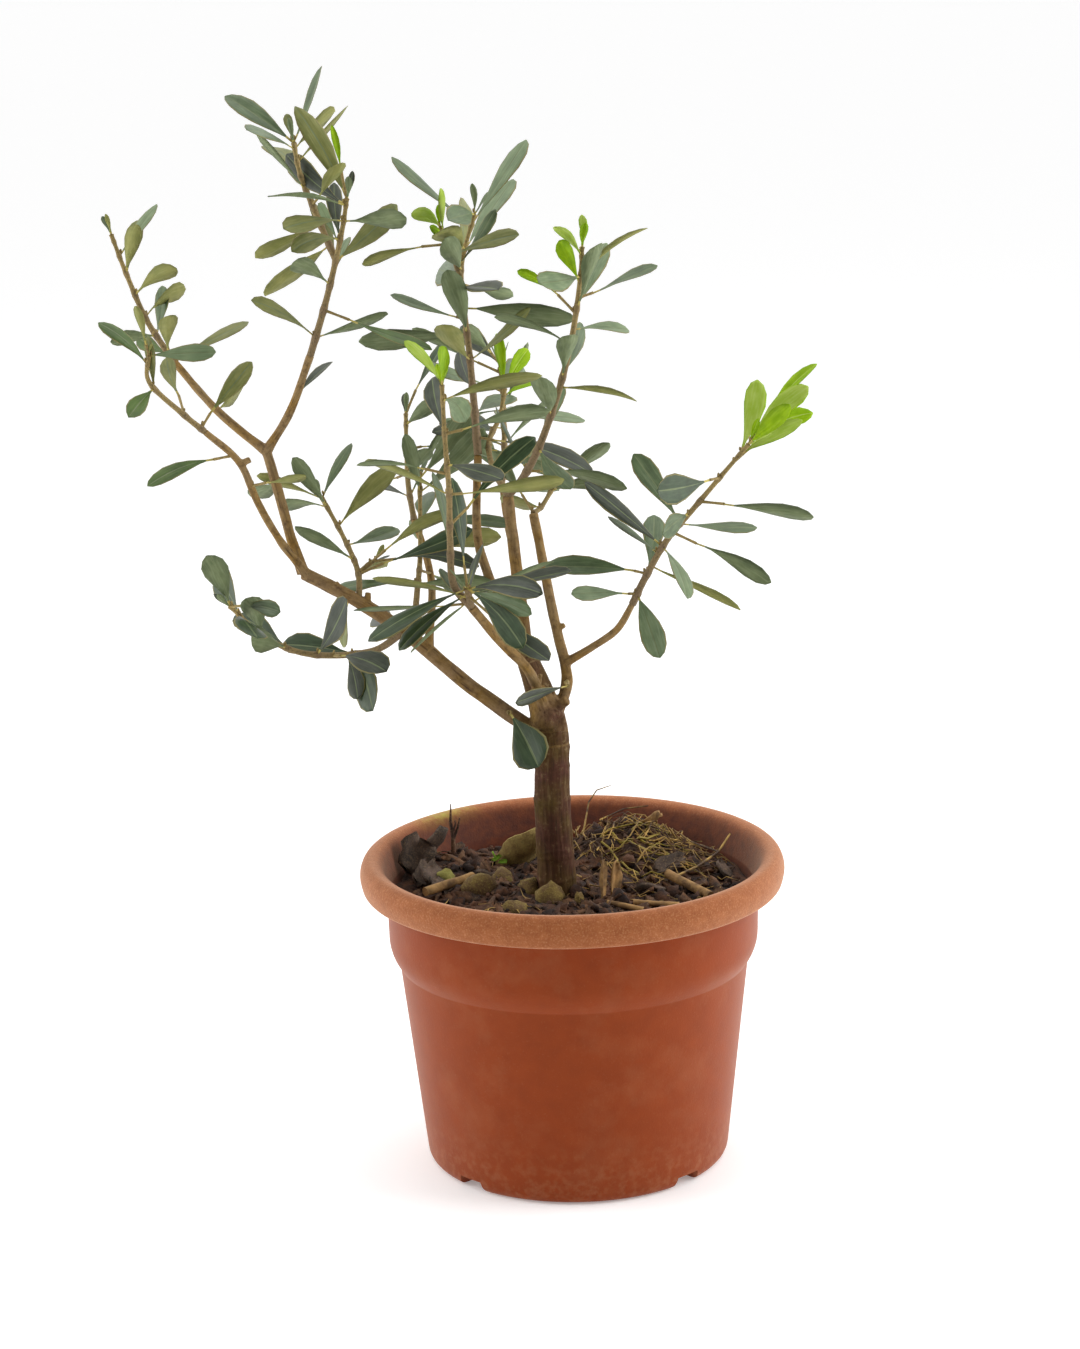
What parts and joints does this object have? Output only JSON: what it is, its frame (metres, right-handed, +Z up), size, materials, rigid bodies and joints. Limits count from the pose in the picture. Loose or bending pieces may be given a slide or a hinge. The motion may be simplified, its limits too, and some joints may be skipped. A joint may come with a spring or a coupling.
{
  "type": "potted olive bonsai",
  "caption": "Small olive tree kept as a bonsai: a short bare trunk, spreading boughs and open sprays of narrow grey-green leaves, in a round terracotta-coloured plastic pot.",
  "frame": {"origin": "centre of the pot's flat underside", "axes": "+Z up along the pot's axis, -Y towards the plant's front, +X to the right of the front"},
  "size_m": [0.3176, 0.2337, 0.5131],
  "materials": {
    "pot_plastic": "matte, weathered on the rim",
    "mulch": "rough, damp",
    "bark": "rough",
    "foliage": "leathery, half matte"
  },
  "bodies": {
    "root": {"pot": "pot_plastic", "soil": "mulch", "trunk": "bark", "leader": "bark", "middle_stem": "bark", "left_bough": "bark", "right_stem": "bark", "front_bough": "bark", "right_bough": "bark", "inner_left_bough": "bark", "outer_left_bough": "bark", "far_left_bough": "bark", "tall_left_bough": "bark", "back_bough": "bark", "back_left_bough": "bark", "right_spray": "foliage", "far_left_spray": "foliage", "outer_left_spray": "foliage", "tall_left_spray": "foliage", "low_left_spray": "foliage", "left_inner_spray": "foliage", "left_upright_spray": "foliage", "rosette_spray": "foliage", "mid_left_spray": "foliage", "middle_spray": "foliage", "right_upper_spray": "foliage", "tuft_spray": "foliage", "right_inner_spray": "foliage", "fork_leaf_left": "foliage", "fork_leaf_right": "foliage", "back_spray": "foliage", "back_left_spray": "foliage"}
  },
  "joints": []
}
